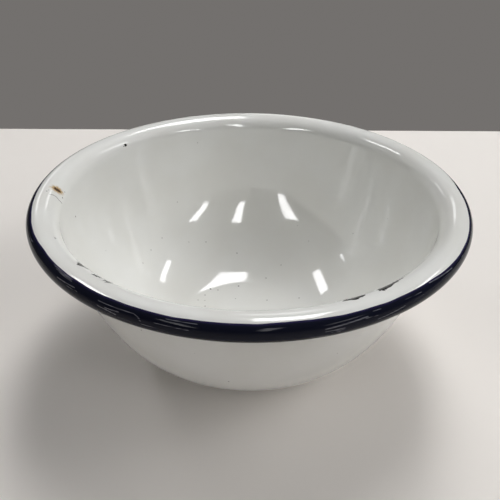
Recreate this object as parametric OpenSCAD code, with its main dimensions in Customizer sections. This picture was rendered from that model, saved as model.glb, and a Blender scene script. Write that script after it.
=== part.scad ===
// Round enamelled dish: a pressed sheet-steel bowl with a flat base, an out-turned lip and a fat
// rolled rim, under fired coats of enamel. Each coat is a closed solid of its own that lies face
// to face on the one below. The origin is the centre of the flat base, with +Z up.

/* [Bowl] */
// Outside diameter over the rolled rim
rim_d = 195.5; // [190:0.5:201]
// Overall height
height = 84.5; // [81.5:0.5:87.5]
// Diameter of the flat base
base_d = 62; // [56:1:68]
// Outside radius of the heel, where the base turns up
heel_r = 26; // [22:1:30]
// Slope of the wall where the heel meets the belly, in degrees
heel_angle = 23; // [20:1:26]
// Outside radius of the belly
belly_r = 64.5; // [61.5:0.5:67.5]
// Slope of the wall where the belly meets the upper wall, in degrees
belly_angle = 66; // [63:1:69]

/* [Lip and rolled rim] */
// Inside radius of the bend from the wall out to the lip
lip_r = 7.8; // [6.8:0.1:8.6]
// Length of the lip's straight stretch
lip_l = 0.9; // [0.3:0.1:2]
// Rise of the lip towards the rim, in degrees
lip_slope = 2; // [0:0.5:5]
// Diameter of the rolled rim
bead_d = 9.2; // [8.4:0.1:9.6]
// How far the sheet curls round, in degrees
curl_turn = 280; // [240:5:285]
// How far round the roll the white coat runs before the coloured band takes over, in degrees
white_turn = 30; // [20:1:40]

/* [Sheet and coats] */
// Thickness of the steel sheet
steel_t = 0.7; // [0.5:0.05:0.9]
// Thickness of the dark ground coat
ground_t = 0.12; // [0.08:0.01:0.16]
// Thickness of the white cover coat and of the rim's coloured band
cover_t = 0.22; // [0.15:0.01:0.3]

/* [Drawing] */
// Angle between neighbouring points on the outline's wide arcs, in degrees
wide_step = 3; // [2:0.5:6]
// Angle between neighbouring points on its tight bends, in degrees
tight_step = 8; // [5:1:12]
// Sides drawn in a full turn
turn_fn = 180; // [90:10:240]

/* [Hidden] */

white = [0.86, 0.86, 0.84];
navy = [0.05, 0.05, 0.10];
ground_black = [0.12, 0.11, 0.11];
steel_grey = [0.62, 0.63, 0.65];

// Depths of each face below the outer one, counted into the wall.
coat_t = ground_t + cover_t;
wall_t = steel_t + 2 * coat_t;
steel_outer_depth = coat_t;
steel_inner_depth = coat_t + steel_t;
white_inner_depth = wall_t - cover_t;

// A unit vector along the wall at a slope, and one from it towards the inside of the bowl.
function along(slope) = [cos(slope), sin(slope)];
function inward(slope) = [-sin(slope), cos(slope)];

// The rolled rim sets the top of the outline. The lip's upper face runs on into the roll.
bead_r = bead_d / 2;
bead_c = [rim_d / 2 - bead_r, height - bead_r];
lip_c = bead_c + (bead_r - lip_r) * inward(lip_slope) - lip_l * along(lip_slope);
lip_out_r = lip_r - wall_t;

// The base, heel and belly set the bottom of it, each arc running on from the last.
base_r = base_d / 2;
heel_c = [base_r, heel_r];
belly_c = heel_c + (belly_r - heel_r) * inward(heel_angle);

// The upper wall is the one arc that leaves the belly smoothly and meets the lip's bend smoothly.
belly_end = belly_c - belly_r * inward(belly_angle);
to_lip = lip_c - belly_end;
wall_r = (to_lip * to_lip - lip_out_r * lip_out_r)
    / (2 * (lip_out_r + to_lip * inward(belly_angle)));
wall_c = belly_end + wall_r * inward(belly_angle);
wall_angle = 90 + atan2(lip_c[1] - wall_c[1], lip_c[0] - wall_c[0]);

// The roll starts on the lip's line and turns down, under and back up to its free edge.
curl_start = 90 + lip_slope;
curl_end = curl_start - curl_turn;
band_start = curl_start - white_turn;

// Points of an arc after its first one, which ends the stretch before it.
function arc(centre, radius, from, to, step) =
    let (steps = ceil(abs(to - from) / step))
    [for (i = [1:steps]) centre + radius * along(from + (to - from) * i / steps)];

function backwards(points) = [for (i = [len(points) - 1:-1:0]) points[i]];

// The wall's line at one depth, from the axis out to the edge of the lip.
function wall_line(depth) = concat(
    [[0, depth], [base_r, depth]],
    arc(heel_c, heel_r - depth, -90, heel_angle - 90, wide_step),
    arc(belly_c, belly_r - depth, heel_angle - 90, belly_angle - 90, wide_step),
    arc(wall_c, wall_r - depth, belly_angle - 90, wall_angle - 90, wide_step),
    arc(lip_c, lip_out_r + depth, wall_angle + 90, lip_slope + 90, tight_step),
    [bead_c + (bead_r - wall_t + depth) * inward(lip_slope)]
);

// The roll's line at one radius, from just past the edge of the lip to the free edge.
function curl_line(radius) = arc(bead_c, radius, curl_start, curl_end, tight_step);

// The same line cut in two where the white coat meets the coloured band.
function white_curl_line(radius) = arc(bead_c, radius, curl_start, band_start, tight_step);
function band_line(radius) = concat(
    [bead_c + radius * along(band_start)],
    arc(bead_c, radius, band_start, curl_end, tight_step)
);

module turned(outline) {
    rotate_extrude($fn = turn_fn)
        polygon(outline);
}

// A coat that ends at the edge of the lip.
module wall_layer(outer_depth, inner_depth) {
    turned(concat(wall_line(outer_depth), backwards(wall_line(inner_depth))));
}

// A coat or sheet that runs on round the roll.
module rolled_layer(outer_depth, inner_depth) {
    turned(concat(
        wall_line(outer_depth),
        curl_line(bead_r - wall_t + outer_depth),
        backwards(curl_line(bead_r - wall_t + inner_depth)),
        backwards(wall_line(inner_depth))
    ));
}

// Pressed and rolled steel sheet; the roll is hollow and its edge stays just short of the lip.
module steel_shell() {
    color(steel_grey)
        rolled_layer(steel_outer_depth, steel_inner_depth);
}

// Ground coat on the inner face and round the roll.
module inner_ground_coat() {
    color(ground_black)
        rolled_layer(steel_inner_depth, white_inner_depth);
}

// Ground coat on the outer face, up to the lip's edge inside the roll.
module outer_ground_coat() {
    color(ground_black)
        wall_layer(cover_t, steel_outer_depth);
}

// White coat inside the bowl, over the lip and onto the roll, up to the coloured band.
module inner_enamel() {
    color(white)
        turned(concat(
            wall_line(white_inner_depth),
            white_curl_line(bead_r - cover_t),
            backwards(white_curl_line(bead_r)),
            backwards(wall_line(wall_t))
        ));
}

// White coat outside the bowl, under its base and under its lip.
module outer_enamel() {
    color(white)
        wall_layer(0, cover_t);
}

// Coloured band round the roll, from the edge of the white coat to the free edge.
module rim_band() {
    color(navy)
        turned(concat(
            band_line(bead_r - cover_t),
            backwards(band_line(bead_r))
        ));
}

steel_shell();
inner_ground_coat();
outer_ground_coat();
inner_enamel();
outer_enamel();
rim_band();
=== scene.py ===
"""Looks of the enamelled dish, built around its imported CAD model.

The white coats and the coloured rim band are lathed again from the CAD outlines, finer and slightly
uneven as fired enamel is. Chips in the white coat go down to the CAD ground coat, which shows in
them. The frame is in metres; small lengths here are written in millimetres times MM. Angles are in
degrees from +X towards +Y, and an inset is the distance inwards from the edge of the lip, measured
along the inner face.
"""

import math

import bmesh
import bpy
import numpy as np
from mathutils import Matrix, Vector


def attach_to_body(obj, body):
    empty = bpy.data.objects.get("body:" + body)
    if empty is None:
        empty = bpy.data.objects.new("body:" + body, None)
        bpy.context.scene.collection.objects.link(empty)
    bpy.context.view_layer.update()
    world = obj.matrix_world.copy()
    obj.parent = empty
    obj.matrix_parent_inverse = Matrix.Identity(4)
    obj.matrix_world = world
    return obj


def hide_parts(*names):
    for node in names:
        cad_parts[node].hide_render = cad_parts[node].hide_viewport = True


MM = 0.001

# Outlines
SHARP_TURN = math.radians(60)
SAMPLE = 0.05 * MM
BODY_FAIRING = 4.0 * MM
LIP_FAIRING = 0.8 * MM
LIP_ZONE = (24.0 * MM, 18.5 * MM)

# Meshes
SIDES = 384
RING_STEP = 1.5 * MM
LIP_RING_STEP = 0.6 * MM
BAND_SIDES = 1152
REFINE_MARGINS = (1.5 * MM, 0.9 * MM, 0.45 * MM)
NORMAL_STEP = 0.04 * MM
SNAP_STEP = 0.02 * MM
SNAP_REACH = 0.11 * MM

# Coats
COVER_T = 0.22 * MM
CHIP_DEPTH = 0.33 * MM
CHIP_WALL = 0.14 * MM
BAND_STEP = 0.07 * MM
BAND_DIP = 3.0 * MM
BAND_OVERLAP = 2.2 * MM
BOX_SLACK = 0.035 * MM


# ---------------------------------------------------------------- outlines of the CAD coats

def outline_links(node):
    """Which points of a node's section at angle 0 are joined, as (radius, height) in micrometres."""
    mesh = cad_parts[node].data
    places = np.array([vertex.co for vertex in mesh.vertices])
    keys = [tuple(key) for key in np.round(places[:, [0, 2]] * 1e6).astype(int)]
    on_seam = (np.abs(places[:, 1]) < 1e-7) & (places[:, 0] > -1e-7)
    links = {}
    for edge in mesh.edges:
        a, b = edge.vertices
        if on_seam[a] and on_seam[b] and keys[a] != keys[b]:
            links.setdefault(keys[a], set()).add(keys[b])
            links.setdefault(keys[b], set()).add(keys[a])
    return links


def turn_at(before, here, after):
    """How far a path turns at a point, in radians."""
    into = Vector(here) - Vector(before)
    out = Vector(after) - Vector(here)
    return into.angle(out)


def follow(path, links):
    """Runs a path on along an outline until it comes to a sharp corner."""
    path = list(path)
    while True:
        ahead = [p for p in links.get(path[-1], ()) if turn_at(path[-2], path[-1], p) < SHARP_TURN]
        if not ahead:
            return path
        path.append(ahead[0])


def from_axis(links, upper):
    """The first two points of an outline's upper or lower face: on the axis, and at the base's rim."""
    ends = [point for point, joined in links.items() if len(joined) == 1]
    start = (max if upper else min)(ends, key=lambda point: point[1])
    return [(0, start[1]), start]


def blur(line, sigma):
    """A line of even points smoothed by a Gaussian, mirrored at the axis and run on at its end."""
    reach = int(4 * sigma / SAMPLE)
    weights = np.exp(-0.5 * (np.arange(-reach, reach + 1) * SAMPLE / sigma) ** 2)
    weights /= weights.sum()
    before = line[reach:0:-1] * [-1, 1]
    after = line[-1] + np.arange(1, reach + 1)[:, None] * (line[-1] - line[-2])
    padded = np.vstack([before, line, after])
    return np.stack([np.convolve(padded[:, i], weights, "valid") for i in (0, 1)], axis=1)


def faired(line, sigma):
    """Rounds off facets and joins between arcs, and keeps the arcs where they are."""
    once = blur(line, sigma)
    return 2 * once - blur(once, sigma)


class Outline:
    """A smooth outline, with its air side to the left (+1) or right (-1) of its way out."""

    def __init__(self, path, lip_edge, side):
        points = np.array(path, float) * 1e-6
        lengths = np.concatenate([[0], np.cumsum(np.linalg.norm(np.diff(points, axis=0), axis=1))])
        corner = path.index(lip_edge) if lip_edge in path else len(path) - 1
        self.edge = lengths[corner]
        self.length = lengths[-1]
        self.along = np.arange(0, self.length, SAMPLE)
        line = np.stack([np.interp(self.along, lengths, points[:, i]) for i in (0, 1)], axis=1)
        lip = ramp(self.along, self.edge - LIP_ZONE[0], self.edge - LIP_ZONE[1])[:, None]
        line = (1 - lip) * faired(line, BODY_FAIRING) + lip * faired(line, LIP_FAIRING)
        way = np.gradient(line, axis=0)
        way /= np.linalg.norm(way, axis=1)[:, None]
        self.columns = (line[:, 0], line[:, 1], -side * way[:, 1], side * way[:, 0])

    def at(self, along):
        """Radius, height and the two parts of the normal at distances along the outline."""
        return [np.interp(along, self.along, column) for column in self.columns]

    def surface(self, angle, along, lift):
        """Points of the turned surface, lifted by a distance along its normal."""
        radius, height, out, up = self.at(along)
        radius = np.maximum(radius + lift * out, 0)
        height = height + lift * up
        return np.stack([radius * np.cos(angle), radius * np.sin(angle), height], axis=-1)


def ramp(value, low, high):
    """Rises smoothly from 0 at low to 1 at high."""
    share = np.clip((value - low) / (high - low), 0, 1)
    return share * share * (3 - 2 * share)


# ---------------------------------------------------------------- marks left by use

def angle_gap(angle, middle):
    """The signed angle from a middle given in degrees, in radians between -pi and pi."""
    return (angle - math.radians(middle) + math.pi) % (2 * math.pi) - math.pi


class Place:
    """Where points are on the inner face: angle, inset from the lip's edge, and radius."""

    def __init__(self, line, angle, along):
        self.line = line
        self.angle = angle
        self.along = along
        self.inset = line.edge - along
        self.radius = line.at(along)[0]

    def moved(self, around, outwards):
        """The same points, shifted by distances around and outwards."""
        angle = self.angle + around / np.maximum(self.radius, MM)
        return Place(self.line, angle, self.along + outwards)


# How many waves run round a patch's ragged edge, and the narrowest and widest that a taper makes it.
RAGGED_WAVES = (2, 3, 5, 7, 11)
TAPER_LIMITS = (0.12, 2)


class Patch:
    """A ragged oval: its middle, half its length around, half its width across, and its slant.

    The inset and both halves are in millimetres. A taper narrows one end to a point: the far end
    where it is below 0, the near end where above.
    """

    def __init__(self, angle, inset, length, width, slant=0, taper=0, seed=0, ragged=0.22):
        self.angle, self.inset = angle, inset * MM
        self.half = (length * MM, width * MM)
        self.slant = math.radians(slant)
        self.taper = taper
        draw = np.random.default_rng(seed)
        self.waves = [
            (n, ragged * draw.uniform(0.2, 0.6), draw.uniform(0, 2 * math.pi))
            for n in RAGGED_WAVES
        ]

    def distance(self, place):
        """Distance from the patch's edge, negative inside it."""
        around = angle_gap(place.angle, self.angle) * place.radius
        across = place.inset - self.inset
        u = (around * math.cos(self.slant) + across * math.sin(self.slant)) / self.half[0]
        v = (across * math.cos(self.slant) - around * math.sin(self.slant)) / self.half[1]
        v = v / np.clip(1 + self.taper * u, *TAPER_LIMITS)
        bearing = np.arctan2(v, u)
        swell = 1 + sum(size * np.sin(n * bearing + phase) for n, size, phase in self.waves)
        reach = np.hypot(u, v)
        slope = np.hypot(u / self.half[0], v / self.half[1]) / np.maximum(reach, 1e-6)
        return (reach - swell) / np.maximum(slope, 1 / max(self.half))


class Scratch:
    """A thin line through (angle, inset) points."""

    def __init__(self, points, width):
        self.points = points
        self.width = width * MM

    def distance(self, place):
        """Distance from the line's edge, negative inside it."""
        middle = self.points[0][0]
        angles, insets = np.array(self.points).T
        radii = place.line.at(place.line.edge - insets * MM)[0]
        nodes = np.stack([np.radians(angles - middle) * radii, insets * MM], axis=-1)
        here = np.stack([angle_gap(place.angle, middle) * place.radius, place.inset], axis=-1)
        gaps = np.full(here.shape[:-1], np.inf)
        for start, end in zip(nodes, nodes[1:]):
            run = end - start
            share = np.clip((here - start) @ run / (run @ run), 0, 1)
            gaps = np.minimum(gaps, np.linalg.norm(here - start - share[..., None] * run, axis=-1))
        return gaps - self.width


def nearest(marks, place):
    """Distance from the nearest of the marks."""
    result = np.full(len(place.angle), np.inf)
    for mark in marks:
        result = np.minimum(result, mark.distance(place))
    return result


# Chips in the white coat, on the lip's bend.
RUST_CHIP = Patch(-178.3, 8.6, 2.0, 1.15, slant=83, seed=1)
CHIPS = [
    RUST_CHIP,
    Patch(-134.4, 9.1, 3.6, 2.1, slant=8, taper=-0.5, seed=2),
    Patch(-128.2, 8.3, 2.3, 1.8, slant=20, seed=3),
    Patch(-124.3, 8.4, 3.4, 1.8, slant=14, taper=-0.7, seed=4),
    Patch(-67.6, 7.5, 5.3, 2.1, taper=0.4, seed=5),
    Patch(-60.2, 6.6, 1.5, 2.0, seed=6),
    Patch(-56.5, 8.3, 8.3, 2.0, taper=-0.5, seed=7),
    Patch(-149.6, 7.4, 0.9, 0.3, slant=10, seed=8),
    Patch(141.2, 11.2, 0.8, 0.9, seed=9),
]
# How far the band's edge lies past the end of the CAD's white coat, in millimetres by angle.
BAND_EDGE = [
    (-168, -0.76), (-156, -0.6), (-144, -0.9), (-133, -0.53), (-122, -0.34), (-111, -0.05),
    (-101, 0.1), (-90, 0.0), (-80, -0.3), (-69, 0.13), (-58, 0.13), (-47, 0.24), (-38, 0.78),
    (-23, 0.5), (-14, -0.24), (-2, -1.1), (10, 0.2), (30, 0.5), (90, 0.5), (120, 0.3),
    (150, 0.0), (165, -0.4),
]
# Waves of that edge: how many in a turn, their size in millimetres and their phase.
BAND_EDGE_WAVES = [(9, 0.05, 1.3), (23, 0.06, 0.4), (41, 0.04, 2.1), (67, 0.025, 5.0)]
# A crack that runs down the wall from the rust chip, and scratches in the band; the band's scratches are
# worn places painted pale grey, partly wear and partly a painted reflection of the bright streaks they
# catch.
CRACK = Scratch([(-174.1, 6.4), (-174.4, 7.9), (-174.5, 9.3), (-174.1, 11.2), (-174.6, 13.6)], 0.09)
BAND_SCRATCHES_AND_GLINTS = [
    Scratch([(-138.3, 0.17), (-134.2, -0.04), (-130.4, -0.14)], 0.03),
    Scratch([(-137.5, -0.15), (-134.0, -0.42), (-130.8, -0.45)], 0.02),
    Scratch([(-136.8, -0.51), (-133.3, -0.78), (-130.4, -0.75)], 0.03),
    Scratch([(-135.1, -2.64), (-129.1, -2.11)], 0.10),
    Scratch([(-122.0, -2.14), (-116.2, -2.18), (-113.4, -2.12), (-112.3, -2.90), (-111.7, -4.27)], 0.06),
    Scratch([(-122.1, -3.94), (-119.7, -4.15), (-117.5, -4.55)], 0.10),
    Scratch([(-120.2, -3.60), (-116.8, -3.25)], 0.08),
    Scratch([(-76.3, -3.82), (-67.5, -2.69)], 0.14),
    Scratch([(-76.3, -4.77), (-72.5, -4.67)], 0.08),
    Scratch([(-65.0, -4.90), (-58.4, -3.83)], 0.05),
    Scratch([(-50.2, -0.75), (-41.2, -1.85)], 0.08),
]
# Specks in the white coat: angle, inset and radius.
SPECKS = [
    (127.7, 110.1, 0.5), (100.0, 113.7, 0.4), (97.2, 90.4, 0.3), (137.7, 69.0, 0.25),
    (124.4, 77.5, 0.2), (114.8, 80.4, 0.25), (137.1, 112.1, 0.3), (151.1, 118.3, 0.3),
    (147.0, 112.0, 0.25), (122.2, 113.0, 0.3), (74.1, 106.5, 0.3), (65.9, 95.8, 0.25),
    (60.3, 124.4, 0.3), (34.7, 110.6, 0.3), (146.8, 71.7, 0.25), (155.7, 74.6, 0.25),
    (33.9, 61.0, 0.2), (178.7, 26.2, 0.35), (-177.0, 12.5, 0.35), (-175.4, 4.8, 0.3),
    (-176.2, 5.4, 0.2), (142.2, 11.4, 0.3),
]


def stray_specks(count, insets, seed):
    """Specks at random places between two insets."""
    draw = np.random.default_rng(seed)
    angles = draw.uniform(-180, 180, count)
    depths = draw.uniform(*insets, count)
    radii = draw.uniform(0.12, 0.25, count)
    return list(zip(angles, depths, radii))


def stray_scratches(count, seed):
    """Short scratches that run round the rolled rim."""
    draw = np.random.default_rng(seed)
    made = []
    for _ in range(count):
        angle, inset = draw.uniform(-180, 180), draw.uniform(-8, -1)
        length, slip = draw.uniform(1.5, 7), draw.normal(0, 0.25)
        made.append(Scratch([(angle, inset), (angle + length, inset + slip)], draw.uniform(0.01, 0.03)))
    return made


def specks(places, seed):
    """Round patches for (angle, inset, radius) places."""
    return [Patch(a, inset, r, r, seed=seed + i, ragged=0.15) for i, (a, inset, r) in enumerate(places)]


# ---------------------------------------------------------------- relief of the enamel

WHITE_WAVES = 0.045 * MM
BAND_WAVES = 0.012 * MM
LIP_CALM = (-6 * MM, -1 * MM)


def waves(points, seed, size, lengths, count=14):
    """Unevenness of a fired coat, between minus twice its size and nothing."""
    draw = np.random.default_rng(seed)
    total, limit = np.zeros(len(points)), 0
    for _ in range(count):
        length = math.exp(draw.uniform(math.log(lengths[0]), math.log(lengths[1])))
        way = draw.normal(size=3)
        way *= 2 * math.pi / length / np.linalg.norm(way)
        total += length * np.sin(points @ way + draw.uniform(0, 2 * math.pi))
        limit += length
    return size * (total / limit - 1)


def band_edge(angle):
    """How far past the end of the CAD's white coat the brushed band starts."""
    stops, steps = np.array(BAND_EDGE).T
    past = np.interp(angle, np.radians(stops), steps, period=2 * math.pi)
    for n, size, phase in BAND_EDGE_WAVES:
        past = past + size * np.sin(n * angle + phase)
    return past * MM


def inner_relief(place):
    """Relief of the inner white coat."""
    points = place.line.surface(place.angle, place.along, 0)
    calm = ramp(-place.inset, *LIP_CALM)
    past = -place.inset - band_edge(place.angle)
    lift = waves(points, 11, WHITE_WAVES, (9 * MM, 45 * MM)) * (1 - calm)
    lift = lift - BAND_STEP * ramp(past, -BAND_DIP, 0)
    return lift - CHIP_DEPTH * ramp(-nearest(CHIPS, place), 0, CHIP_WALL)


def outer_relief(place):
    """Relief of the outer white coat."""
    points = place.line.surface(place.angle, place.along, 0)
    return waves(points, 12, WHITE_WAVES, (12 * MM, 50 * MM)) - BOX_SLACK


# ---------------------------------------------------------------- meshes

POINT_RADIUS = 0.5 * MM
# Rings up to each radius have this share of the full number of sides.
RING_SHARES = [(6 * MM, 16), (14 * MM, 4), (34 * MM, 2)]


def ring_size(radius):
    """Points in a ring, fewer where the surface is narrow."""
    if radius < POINT_RADIUS:
        return 1
    for limit, share in RING_SHARES:
        if radius < limit:
            return SIDES // share
    return SIDES


def strip(a, n, b, m):
    """Faces between a ring of n points that starts at a, and the next one, of m points, at b."""
    if n == 1:
        return [(a, b + i, b + (i + 1) % m) for i in range(m)]
    if n == m:
        return [(a + i, b + i, b + (i + 1) % m, a + (i + 1) % n) for i in range(n)]
    faces = []
    share = m // n
    for i in range(n):
        here, after = a + i, a + (i + 1) % n
        fan = [b + (share * i + j) % m for j in range(share + 1)]
        middle = share // 2
        faces += [(here, fan[j], fan[j + 1]) for j in range(middle)]
        faces += [(here, fan[middle], after)]
        faces += [(after, fan[j], fan[j + 1]) for j in range(middle, share)]
    return faces


def lathe(line, stops):
    """A bmesh of the turned outline, with the distance along the outline kept on each vertex."""
    angle, along, rings = [], [], []
    for stop in stops:
        count = ring_size(float(line.at(stop)[0]))
        rings.append((len(angle), count))
        angle += [2 * math.pi * i / count for i in range(count)]
        along += [stop] * count
    bm = bmesh.new()
    layer = bm.verts.layers.float.new("along")
    points = line.surface(np.array(angle), np.array(along), 0)
    verts = [bm.verts.new(point) for point in points]
    for vertex, stop in zip(verts, along):
        vertex[layer] = stop
    for (a, n), (b, m) in zip(rings, rings[1:]):
        for face in strip(a, n, b, m):
            bm.faces.new([verts[i] for i in face])
    return bm


def refine(bm, line, marks):
    """Splits the faces around the marks until they can carry their outlines."""
    layer = bm.verts.layers.float["along"]
    for margin in REFINE_MARGINS:
        faces = list(bm.faces)
        middles = np.array([face.calc_center_median() for face in faces])
        along = np.array([sum(v[layer] for v in face.verts) / len(face.verts) for face in faces])
        place = Place(line, np.arctan2(middles[:, 1], middles[:, 0]), along)
        near = nearest(marks, place) < margin
        edges = {edge for face, hit in zip(faces, near) if hit for edge in face.edges}
        bmesh.ops.subdivide_edges(bm, edges=list(edges), cuts=1, use_grid_fill=True)


def read_place(mesh, line):
    """Where a lathed mesh's vertices are."""
    points = np.array([vertex.co for vertex in mesh.vertices])
    along = np.array([item.value for item in mesh.attributes["along"].data])
    return Place(line, np.arctan2(points[:, 1], points[:, 0]), along)


def snapped(place, marks):
    """Slides the vertices beside the marks onto their outlines."""
    here = nearest(marks, place)
    around = (nearest(marks, place.moved(SNAP_STEP, 0)) - here) / SNAP_STEP
    outwards = (nearest(marks, place.moved(0, SNAP_STEP)) - here) / SNAP_STEP
    pull = np.where(np.abs(here) < SNAP_REACH, -here, 0)
    return place.moved(pull * around, pull * outwards)


def give_relief(mesh, place, relief):
    """Moves the vertices to the uneven surface, and sets its true normals."""
    line = place.line

    def points(spot):
        return line.surface(spot.angle, spot.along, relief(spot))

    here = points(place)
    around = points(place.moved(NORMAL_STEP, 0)) - here
    outwards = points(place.moved(0, NORMAL_STEP)) - here
    normals = np.cross(outwards, around)
    sizes = np.linalg.norm(normals, axis=1)
    flat = np.array([0, 0, 1.0])
    normals = np.where(sizes[:, None] > 1e-14, normals / np.maximum(sizes, 1e-14)[:, None], flat)
    mesh.vertices.foreach_set("co", here.ravel())
    return normals


def add_attribute(mesh, name, values):
    """A number on each vertex, which the material reads."""
    layer = mesh.attributes.new(name, "FLOAT", "POINT")
    layer.data.foreach_set("value", np.asarray(values, np.float32))


def mesh_object(name, mesh):
    """An object of the mesh, smooth shaded, in the scene."""
    mesh.polygons.foreach_set("use_smooth", [True] * len(mesh.polygons))
    thing = bpy.data.objects.new(name, mesh)
    bpy.context.scene.collection.objects.link(thing)
    return thing


SPECK_SOFT = 0.14 * MM
CRACK_SOFT = 0.16 * MM
SCRATCH_SOFT = (-0.09 * MM, 0.03 * MM)
STAIN_REACH = 1.3 * MM
STRAY_SPECKS = 22
WALL_INSETS = (12, 140)
STRAY_SCRATCHES = 60


def ring_stops(line, end):
    """Distances of the rings along an outline, closer together over the lip."""
    lip = line.edge - LIP_ZONE[1]
    body = np.linspace(0, lip, int(lip / RING_STEP))
    return np.concatenate([body[:-1], np.linspace(lip, end, int((end - lip) / LIP_RING_STEP))])


def to_mesh(bm, name):
    """A mesh of a bmesh, which is freed."""
    mesh = bpy.data.meshes.new(name)
    bm.to_mesh(mesh)
    bm.free()
    return mesh


def build_inner_coat(line, material):
    """The white coat inside the dish and over the lip, chipped in places."""
    dots = specks(SPECKS, 100) + specks(stray_specks(STRAY_SPECKS, WALL_INSETS, 5), 200)
    bm = lathe(line, ring_stops(line, line.edge + BAND_OVERLAP))
    refine(bm, line, CHIPS + dots + [CRACK])
    mesh = to_mesh(bm, "inner_coat")
    place = snapped(read_place(mesh, line), CHIPS)
    normals = give_relief(mesh, place, inner_relief)
    dotted = ramp(-nearest(dots, place), -SPECK_SOFT, SPECK_SOFT)
    cracked = ramp(-CRACK.distance(place), -CRACK_SOFT, 0)
    add_attribute(mesh, "speck", np.maximum(dotted, 0.9 * cracked))
    from_rust = np.maximum(RUST_CHIP.distance(place), 0)
    add_attribute(mesh, "rust", np.exp(-from_rust / STAIN_REACH))
    coat = mesh_object("inner_coat", mesh)
    mesh.normals_split_custom_set_from_vertices(normals)
    mesh.materials.append(material)
    return coat


def build_outer_coat(line, material):
    """The white coat outside the dish, under its base and under its lip."""
    bm = lathe(line, ring_stops(line, line.length))
    bmesh.ops.reverse_faces(bm, faces=bm.faces)
    mesh = to_mesh(bm, "outer_coat")
    normals = give_relief(mesh, read_place(mesh, line), outer_relief)
    coat = mesh_object("outer_coat", mesh)
    mesh.normals_split_custom_set_from_vertices(-normals)
    mesh.materials.append(material)
    return coat


# Rows of the band: steps past its brushed edge, then even steps over the part of it that is seen from
# above, then wider ones round the underside, to shares of the way to the roll's free edge.
EDGE_ROWS = np.array([0, 0.03, 0.07, 0.12, 0.2, 0.35, 0.6]) * MM
SEEN_SHARE = 0.45
SEEN_ROWS = 48
HIDDEN_ROWS = 13
EDGE_ROUND = 0.2 * MM
EDGE_DROP = 1.4 * BAND_STEP


def band_rows(line, angles):
    """Distances along the outline of the band's points, a row for each step away from its edge."""
    seen = np.linspace(0, SEEN_SHARE, SEEN_ROWS + 1)[1:]
    hidden = np.linspace(SEEN_SHARE, 1, HIDDEN_ROWS + 1)[1:]
    start = line.edge + band_edge(angles)
    rows = [start + step for step in EDGE_ROWS]
    last = rows[-1]
    rows += [last + share * (line.length - last) for share in np.concatenate([seen, hidden])]
    return np.stack(rows)


def band_lift(flat, gap):
    """How far the band's surface lies off the outline; it rounds down to its brushed edge."""
    edge = 1 - np.clip(gap / EDGE_ROUND, 0, 1)
    dip = EDGE_DROP * (1 - np.sqrt(1 - edge ** 2))
    return waves(flat, 13, BAND_WAVES, (3 * MM, 25 * MM)) - BOX_SLACK - dip


def build_band(line, material):
    """The coloured band over the rolled rim, from its brushed edge to the roll's free edge."""
    angles = 2 * math.pi * np.arange(BAND_SIDES) / BAND_SIDES
    along = band_rows(line, angles)
    gap = (along - along[0]).ravel()
    angle = np.broadcast_to(angles, along.shape).ravel()
    along = along.ravel()
    flat = line.surface(angle, along, 0)
    points = line.surface(angle, along, band_lift(flat, gap))
    end = line.surface(angles, along[-BAND_SIDES:], -COVER_T)
    points = np.vstack([points, end])
    rings = [(first, BAND_SIDES) for first in range(0, len(points), BAND_SIDES)]
    faces = [face for a, b in zip(rings, rings[1:]) for face in strip(*a, *b)]
    mesh = bpy.data.meshes.new("navy_band")
    mesh.from_pydata(points.tolist(), [], faces)
    scratches = BAND_SCRATCHES_AND_GLINTS + stray_scratches(STRAY_SCRATCHES, 21)
    # Mask of the band's scratches, which the material paints pale grey: partly wear, partly a painted
    # reflection.
    dull = ramp(-nearest(scratches, Place(line, angle, along)), *SCRATCH_SOFT)
    for name, values in (("dull", dull), ("from_edge", gap / MM), ("along", along)):
        add_attribute(mesh, name, np.concatenate([values, values[-BAND_SIDES:]]))
    band = mesh_object("navy_band", mesh)
    mesh.materials.append(material)
    return band


# ---------------------------------------------------------------- materials

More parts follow.
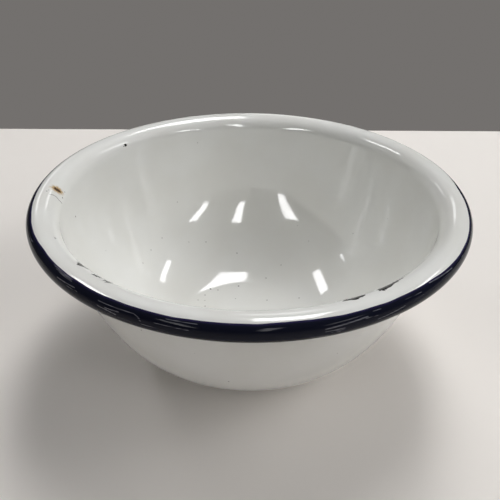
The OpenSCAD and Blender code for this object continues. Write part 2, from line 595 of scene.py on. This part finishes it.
class Shader:
    """Builds the nodes of a tree. Values may be numbers, colours or other nodes' outputs."""

    def __init__(self, tree):
        self.tree = tree
        self.tree.nodes.clear()

    def node(self, kind, inputs, **settings):
        made = self.tree.nodes.new("ShaderNode" + kind)
        for name, value in settings.items():
            setattr(made, name, value)
        for name, value in inputs.items():
            if isinstance(value, bpy.types.NodeSocket):
                self.tree.links.new(value, made.inputs[name])
            else:
                made.inputs[name].default_value = value
        return made

    def place(self):
        return self.node("TexCoord", {}).outputs["Object"]

    def attribute(self, name):
        return self.node("Attribute", {}, attribute_name=name).outputs["Fac"]

    def noise(self, vector, size, detail=2.0, rough=0.5):
        """Noise with features of about the given size in metres."""
        inputs = {"Vector": vector, "Scale": 1 / size, "Detail": detail, "Roughness": rough}
        return self.node("TexNoise", inputs).outputs["Fac"]

    def spread(self, value, low, high, to_low=0.0, to_high=1.0):
        """Maps a range of a value smoothly to another range."""
        inputs = {"Value": value, "From Min": low, "From Max": high, "To Min": to_low, "To Max": to_high}
        return self.node("MapRange", inputs, interpolation_type="SMOOTHSTEP").outputs["Result"]

    def math(self, operation, a, b=0.0):
        return self.node("Math", {0: a, 1: b}, operation=operation).outputs[0]

    def mix(self, share, low, high):
        """A colour between two colours."""
        return self.node("Mix", {0: share, 6: low, 7: high}, data_type="RGBA").outputs[2]

    def around(self, turns, across, depth):
        """Coordinates that run round the dish, so that a pattern can be drawn out that way."""
        flat = self.node("VectorMath", {0: self.place(), 1: (1, 1, 0)}, operation="MULTIPLY").outputs[0]
        way = self.node("VectorMath", {0: flat}, operation="NORMALIZE").outputs[0]
        ring = self.node("VectorMath", {0: way, "Scale": turns}, operation="SCALE").outputs[0]
        lift = self.node("CombineXYZ", {"Z": self.math("MULTIPLY", depth, across)}).outputs[0]
        return self.node("VectorMath", {0: ring, 1: lift}, operation="ADD").outputs[0]

    def bump(self, height, distance, strength, normal=None):
        inputs = {"Height": height, "Distance": distance, "Strength": strength}
        if normal is not None:
            inputs["Normal"] = normal
        return self.node("Bump", inputs).outputs["Normal"]

    def finish(self, **inputs):
        """Ends in a Principled shader whose inputs are named with underscores for spaces."""
        named = {name.replace("_", " "): value for name, value in inputs.items()}
        shader = self.node("BsdfPrincipled", named).outputs["BSDF"]
        self.node("OutputMaterial", {"Surface": shader})


def new_material(name, build):
    """A material whose nodes a function lays out."""
    material = bpy.data.materials.new(name)
    material.use_nodes = True
    build(Shader(material.node_tree))
    return material


WHITE_IOR = 1.75
BAND_IOR = 1.18
GROUND_IOR = 1.55
WHITE = (0.80, 0.80, 0.775, 1)
WARM_WHITE = (0.76, 0.755, 0.72, 1)
NAVY = (0.008, 0.009, 0.018, 1)
VIOLET = (0.030, 0.024, 0.085, 1)
BLACK = (0.012, 0.011, 0.011, 1)
RUST = (0.075, 0.034, 0.012, 1)
STAIN = (0.50, 0.32, 0.10, 1)
STEEL = (0.42, 0.40, 0.38, 1)
SCUFF_GREY = (0.42, 0.40, 0.38, 1)
# Pale grey of the band's scratches and streaks: partly wear, partly a painted reflection.
WORN_SHEEN_GREY = (0.30, 0.30, 0.34, 1)
SPECK_BROWN = (0.05, 0.04, 0.035, 1)
PINHOLE_BROWN = (0.08, 0.06, 0.05, 1)


def inner_white(s):
    """Glossy white enamel with dark specks, a rust stain and a faint orange peel."""
    place = s.place()
    cloud = s.spread(s.noise(place, 45 * MM, 3), 0.35, 0.7)
    base = s.mix(cloud, WHITE, WARM_WHITE)
    rust = s.attribute("rust")
    grain = s.noise(place, 0.9 * MM, 4, 0.7)
    stain = s.spread(s.math("MULTIPLY", rust, grain), 0.08, 0.40, 0.0, 0.85)
    base = s.mix(stain, base, STAIN)
    base = s.mix(s.attribute("speck"), base, SPECK_BROWN)
    smear = s.noise(place, 14 * MM, 5, 0.6)
    rough = s.spread(smear, 0.4, 0.75, 0.06, 0.12)
    peel = s.bump(s.noise(place, 3.2 * MM, 2), 0.012 * MM, 0.5)
    s.finish(Base_Color=base, Roughness=rough, IOR=WHITE_IOR, Normal=peel)


def outer_white(s):
    """Glossy white enamel with pinholes, scuffed grey where the base rests and slides."""
    place = s.place()
    cloud = s.spread(s.noise(place, 40 * MM, 3), 0.35, 0.7)
    base = s.mix(cloud, WHITE, WARM_WHITE)
    along = s.attribute("along")
    ring = s.math("MULTIPLY", s.spread(along, 24 * MM, 33 * MM), s.spread(along, 42 * MM, 34 * MM))
    rub = s.noise(s.around(14, 400, along), 1.0, 5, 0.65)
    scuff = s.math("MULTIPLY", ring, s.spread(rub, 0.45, 0.7))
    base = s.mix(s.math("MULTIPLY", scuff, 0.55), base, SCUFF_GREY)
    dots = s.noise(place, 1.6 * MM, 0)
    base = s.mix(s.spread(dots, 0.865, 0.89, 0.0, 0.8), base, PINHOLE_BROWN)
    smear = s.noise(place, 18 * MM, 5, 0.6)
    rough = s.math("ADD", s.spread(smear, 0.4, 0.75, 0.06, 0.13), s.math("MULTIPLY", scuff, 0.35))
    peel = s.bump(s.noise(place, 3.6 * MM, 2), 0.014 * MM, 0.5)
    s.finish(Base_Color=base, Roughness=rough, IOR=WHITE_IOR, Normal=peel)


def navy_enamel(s):
    """Brushed dark navy enamel, bluer where it thins out over the white; its scratches and streaks are
    painted pale grey, partly wear and partly a painted reflection.
    """
    thin = s.spread(s.attribute("from_edge"), 0.0, 1.1, 1.0, 0.0)
    stroke = s.noise(s.around(22, 2600, s.attribute("along")), 1.0, 4, 0.6)
    tone = s.math("MULTIPLY", thin, s.spread(stroke, 0.3, 0.7, 0.5, 1.0))
    base = s.mix(tone, NAVY, VIOLET)
    worn_and_sheen = s.math("MULTIPLY", s.attribute("dull"), s.spread(stroke, 0.25, 0.6, 0.25, 1.0))
    dull = s.math("MAXIMUM", worn_and_sheen, s.spread(stroke, 0.68, 0.85, 0.0, 0.4))
    # Paints the scratches and streaks pale grey: partly wear, partly a painted reflection of the bright
    # things they catch.
    base = s.mix(s.math("MULTIPLY", dull, 0.75), base, WORN_SHEEN_GREY)
    rough = s.math("ADD", s.math("MULTIPLY", dull, 0.30), 0.06)
    brush = s.bump(stroke, 0.02 * MM, 0.6)
    s.finish(Base_Color=base, Roughness=rough, IOR=BAND_IOR, Normal=brush)


def ground_black(s, rust_place):
    """Thin black ground enamel, rusty in faint patches and in the chip at rust_place."""
    place = s.place()
    grain = s.noise(place, 0.8 * MM, 5, 0.7)
    gap = s.node("VectorMath", {0: place, 1: rust_place}, operation="DISTANCE").outputs["Value"]
    rust = s.math("MULTIPLY", s.spread(gap, 4.0 * MM, 1.5 * MM), s.spread(grain, 0.36, 0.5))
    faint = s.spread(s.noise(place, 5 * MM, 4), 0.62, 0.75, 0.0, 0.5)
    amount = s.math("MAXIMUM", rust, faint)
    base = s.mix(amount, BLACK, RUST)
    rough = s.spread(amount, 0.0, 1.0, 0.16, 0.8)
    pits = s.bump(grain, 0.08 * MM, 0.6)
    s.finish(Base_Color=base, Roughness=rough, IOR=GROUND_IOR, Normal=pits)


def bare_steel(s):
    """Brushed low-carbon sheet, rusty in patches."""
    place = s.place()
    lines = s.noise(s.around(30, 3000, s.node("SeparateXYZ", {0: place}).outputs["Z"]), 1.0, 3)
    rust = s.spread(s.noise(place, 3 * MM, 5, 0.65), 0.45, 0.6)
    base = s.mix(rust, STEEL, RUST)
    rough = s.spread(rust, 0.0, 1.0, 0.35, 0.85)
    metal = s.spread(rust, 0.0, 1.0, 1.0, 0.0)
    grain = s.bump(lines, 0.02 * MM, 0.5)
    s.finish(Base_Color=base, Roughness=rough, Metallic=metal, Normal=grain)


def place_of(patch, line):
    """The middle of a patch on an outline's surface."""
    return tuple(line.surface(math.radians(patch.angle), line.edge - patch.inset, 0))


# ---------------------------------------------------------------- stage

TABLE_BACK = 0.284
TABLE_HALF = 1.6
TABLE_FRONT = -1.3
TABLE_DARK = (0.83, 0.79, 0.75, 1)
TABLE_LIGHT = (0.86, 0.82, 0.78, 1)
LAMP_HEIGHT = 2.0
# Rows of ceiling panels: how bright they are, and whether they light the scene or only show in the
# gloss; then each panel's middle x and y, width, length and turn in degrees.
LAMP_ROWS = [
    (7.6, True, [(-1.50, 0.88, 0.34, 0.95, 0), (0.29, 0.76, 0.50, 1.05, 0),
                  (2.22, 0.80, 0.30, 0.98, 8), (-3.45, 0.68, 0.20, 0.48, 0)]),
    (9.0, False, [(3.15, -3.65, 0.55, 3.0, 14), (0.48, -3.60, 0.38, 2.9, 0),
                  (-2.58, -4.50, 0.73, 4.3, -14)]),
    (2.0, True, [(-1.60, 3.95, 0.50, 1.3, 0), (0.28, 3.95, 0.52, 1.3, 0)]),
]
# Soft panels that aren't seen in the gloss: place, side and glow.
SOFT_PANELS = [
    ((1.4, 0.0, 1.0), 0.7, 5.2),
    ((0.2, 1.1, 1.6), 0.7, 7.0),
    ((-1.1, -0.9, 1.0), 0.7, 1.9),
    ((1.1, -0.9, 1.0), 0.7, 3.0),
]
PANEL_AIM = Vector((0, 0, 0.05))
ROOM_CEILING = 0.14
ROOM_LEFT = 0.06
ROOM_GREY = (0.171, 0.162, 0.155, 1)


def table_top(s):
    """A matt, pale, warm grey."""
    place = s.place()
    cloud = s.noise(place, 0.25, 2)
    base = s.mix(cloud, TABLE_DARK, TABLE_LIGHT)
    rough = s.spread(s.noise(place, 0.02, 3), 0.3, 0.7, 0.5, 0.6)
    s.finish(Base_Color=base, Roughness=rough)


def add_table():
    """A plain pale top that the dish stands on."""
    corners = [(-TABLE_HALF, TABLE_FRONT, 0), (TABLE_HALF, TABLE_FRONT, 0),
               (TABLE_HALF, TABLE_BACK, 0), (-TABLE_HALF, TABLE_BACK, 0)]
    mesh = bpy.data.meshes.new("table_top")
    mesh.from_pydata(corners, [], [(0, 1, 2, 3)])
    mesh.materials.append(new_material("table_top", table_top))
    table = bpy.data.objects.new("table_top", mesh)
    bpy.context.scene.collection.objects.link(table)


def add_panel(name, middle, size, glow, aim=(0, 0, -1), turn=0):
    """A soft rectangular lamp of even brightness that faces one way."""
    light = bpy.data.lights.new(name, "AREA")
    light.shape = "RECTANGLE"
    light.size, light.size_y = size
    light.energy = glow * math.pi * size[0] * size[1]
    lamp = bpy.data.objects.new(name, light)
    lamp.location = middle
    facing = Vector(aim).to_track_quat("-Z", "Y").to_matrix()
    lamp.rotation_euler = (Matrix.Rotation(math.radians(turn), 3, "Z") @ facing).to_euler()
    lamp.visible_camera = False
    bpy.context.scene.collection.objects.link(lamp)
    return lamp


def add_lamps():
    """Rows of ceiling panels, whose images show in the glossy coats, and soft panels around."""
    for row, (glow, lights, panels) in enumerate(LAMP_ROWS):
        for i, (x, y, width, length, turn) in enumerate(panels):
            lamp = add_panel(f"ceiling_{row}_{i}", (x, y, LAMP_HEIGHT), (width, length), glow, turn=turn)
            lamp.visible_diffuse = lights
    for i, (middle, side, glow) in enumerate(SOFT_PANELS):
        lamp = add_panel(f"soft_{i}", middle, (side, side), glow, aim=PANEL_AIM - Vector(middle))
        lamp.visible_glossy = False


def set_world():
    """A dim room: a faint wall on the left, a dull ceiling, and grey below the table's level."""
    world = bpy.data.worlds.new("room")
    world.use_nodes = True
    bpy.context.scene.world = world
    s = Shader(world.node_tree)
    way = s.node("TexCoord", {}).outputs["Generated"]
    x, y, z = s.node("SeparateXYZ", {0: way}).outputs
    side = s.math("MULTIPLY", s.spread(x, 0.1, -0.1), s.spread(s.math("ABSOLUTE", y), 0.6, 0.2))
    wall = s.math("MULTIPLY", side, s.spread(z, 0.95, 0.70, 0.0, ROOM_LEFT))
    ceiling = s.spread(z, 0.70, 0.95, 0.0, ROOM_CEILING)
    sky = s.node("CombineColor", {i: s.math("ADD", wall, ceiling) for i in range(3)}).outputs[0]
    colour = s.mix(s.spread(z, -0.05, 0.12), ROOM_GREY, sky)
    shader = s.node("Background", {"Color": colour}).outputs[0]
    s.node("OutputWorld", {"Surface": shader})


CAMERA_PLACE = (-0.00345, -0.22426, 0.19728)
CAMERA_YAW = math.radians(0.976)
CAMERA_PITCH = math.radians(33.621)
CAMERA_ROLL = math.radians(0.648)
CAMERA_LENS = 39.24
SENSOR_WIDTH = 36
NEAR_CLIP = 0.01


def add_camera():
    """A camera at the reference view."""
    ahead = Vector((math.sin(CAMERA_YAW) * math.cos(CAMERA_PITCH),
                    math.cos(CAMERA_YAW) * math.cos(CAMERA_PITCH),
                    -math.sin(CAMERA_PITCH)))
    level = Vector((math.cos(CAMERA_YAW), -math.sin(CAMERA_YAW), 0))
    up = level.cross(ahead)
    right = math.cos(CAMERA_ROLL) * level + math.sin(CAMERA_ROLL) * up
    up = right.cross(ahead)
    lens = bpy.data.cameras.new("camera")
    lens.lens = CAMERA_LENS
    lens.sensor_width = SENSOR_WIDTH
    lens.clip_start = NEAR_CLIP
    camera = bpy.data.objects.new("camera", lens)
    camera.matrix_world = Matrix((
        (right.x, up.x, -ahead.x, CAMERA_PLACE[0]),
        (right.y, up.y, -ahead.y, CAMERA_PLACE[1]),
        (right.z, up.z, -ahead.z, CAMERA_PLACE[2]),
        (0, 0, 0, 1),
    ))
    bpy.context.scene.collection.objects.link(camera)
    bpy.context.scene.camera = camera


# ---------------------------------------------------------------- the dish

def attach(piece, node):
    """The piece stands for a CAD node: it joins the root body, and the CAD node is hidden."""
    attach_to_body(piece, "root")
    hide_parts(node)


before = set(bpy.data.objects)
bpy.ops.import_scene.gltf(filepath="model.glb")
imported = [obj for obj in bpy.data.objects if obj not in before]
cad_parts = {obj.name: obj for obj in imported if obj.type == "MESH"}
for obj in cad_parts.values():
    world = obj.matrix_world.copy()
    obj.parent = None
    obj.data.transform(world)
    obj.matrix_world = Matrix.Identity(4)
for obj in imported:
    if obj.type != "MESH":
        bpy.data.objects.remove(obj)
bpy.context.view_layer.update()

inner_links = outline_links("inner_enamel")
inner_path = follow(from_axis(inner_links, upper=True), inner_links)
lip_edge = inner_path[-1]
inner_line = Outline(follow(inner_path, outline_links("rim_band")), lip_edge, side=1)

outer_links = outline_links("outer_enamel")
outer_path = follow(from_axis(outer_links, upper=False), outer_links)
outer_line = Outline(outer_path, outer_path[-1], side=-1)

inner_coat = build_inner_coat(inner_line, new_material("inner_white", inner_white))
outer_coat = build_outer_coat(outer_line, new_material("outer_white", outer_white))
band = build_band(inner_line, new_material("navy_enamel", navy_enamel))
attach(inner_coat, "inner_enamel")
attach(outer_coat, "outer_enamel")
attach(band, "rim_band")

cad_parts["steel_shell"].material_slots[0].material = new_material("bare_steel", bare_steel)
rust_place = place_of(RUST_CHIP, inner_line)
ground = new_material("ground_black", lambda s: ground_black(s, rust_place))
for node in ("inner_ground_coat", "outer_ground_coat"):
    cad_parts[node].material_slots[0].material = ground

add_table()
add_lamps()
set_world()
add_camera()
bpy.context.scene.view_settings.view_transform = "Standard"
